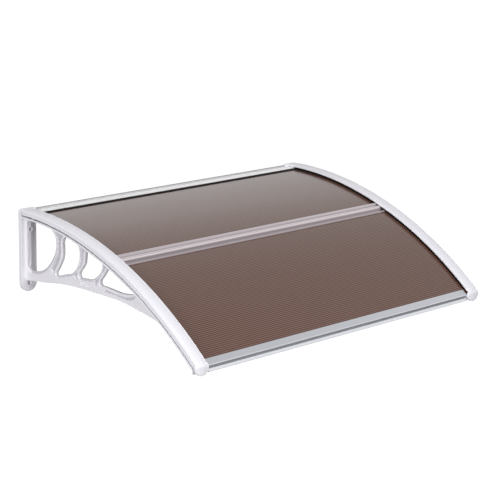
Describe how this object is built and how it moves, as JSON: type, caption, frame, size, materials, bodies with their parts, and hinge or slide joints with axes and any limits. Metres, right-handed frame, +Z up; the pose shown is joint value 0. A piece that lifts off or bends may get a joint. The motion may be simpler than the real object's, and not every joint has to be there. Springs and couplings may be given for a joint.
{
  "type": "door canopy",
  "caption": "Arched door canopy: bronze twin-wall polycarbonate sheets on two openwork wall brackets, with edge covers and aluminium cross profiles.",
  "frame": {"origin": "middle of the wall seal's back face, on the wall plane, at the height of the roof's crown", "axes": "+X along the wall, -Y away from the wall, +Z up"},
  "size_m": [1.0026, 0.767, 0.2494],
  "materials": {
    "white_plastic": "white moulded plastic, satin",
    "bronze_sheet": "bronze-tinted twin-wall polycarbonate",
    "mill_aluminium": "satin anodised extrusion",
    "black_rubber": "black rubber seal",
    "grey_rubber": "light grey rubber seal",
    "zinc_steel": "zinc-plated steel"
  },
  "bodies": {
    "root": {"bracket_left": "white_plastic", "bracket_right": "white_plastic", "cover_left": "white_plastic", "cover_right": "white_plastic", "sheet_rear": "bronze_sheet", "sheet_front": "bronze_sheet", "rear_rail": "mill_aluminium", "middle_bar": "mill_aluminium", "front_rail": "mill_aluminium", "rear_gasket": "black_rubber", "side_seal_left_rear": "black_rubber", "side_seal_left_front": "black_rubber", "side_seal_right_rear": "black_rubber", "side_seal_right_front": "black_rubber", "wall_seal": "grey_rubber", "clamp_screw_left_1": "zinc_steel", "clamp_screw_left_2": "zinc_steel", "clamp_screw_left_3": "zinc_steel", "clamp_screw_left_4": "zinc_steel", "clamp_screw_left_5": "zinc_steel", "clamp_screw_right_1": "zinc_steel", "clamp_screw_right_2": "zinc_steel", "clamp_screw_right_3": "zinc_steel", "clamp_screw_right_4": "zinc_steel", "clamp_screw_right_5": "zinc_steel"}
  },
  "joints": []
}
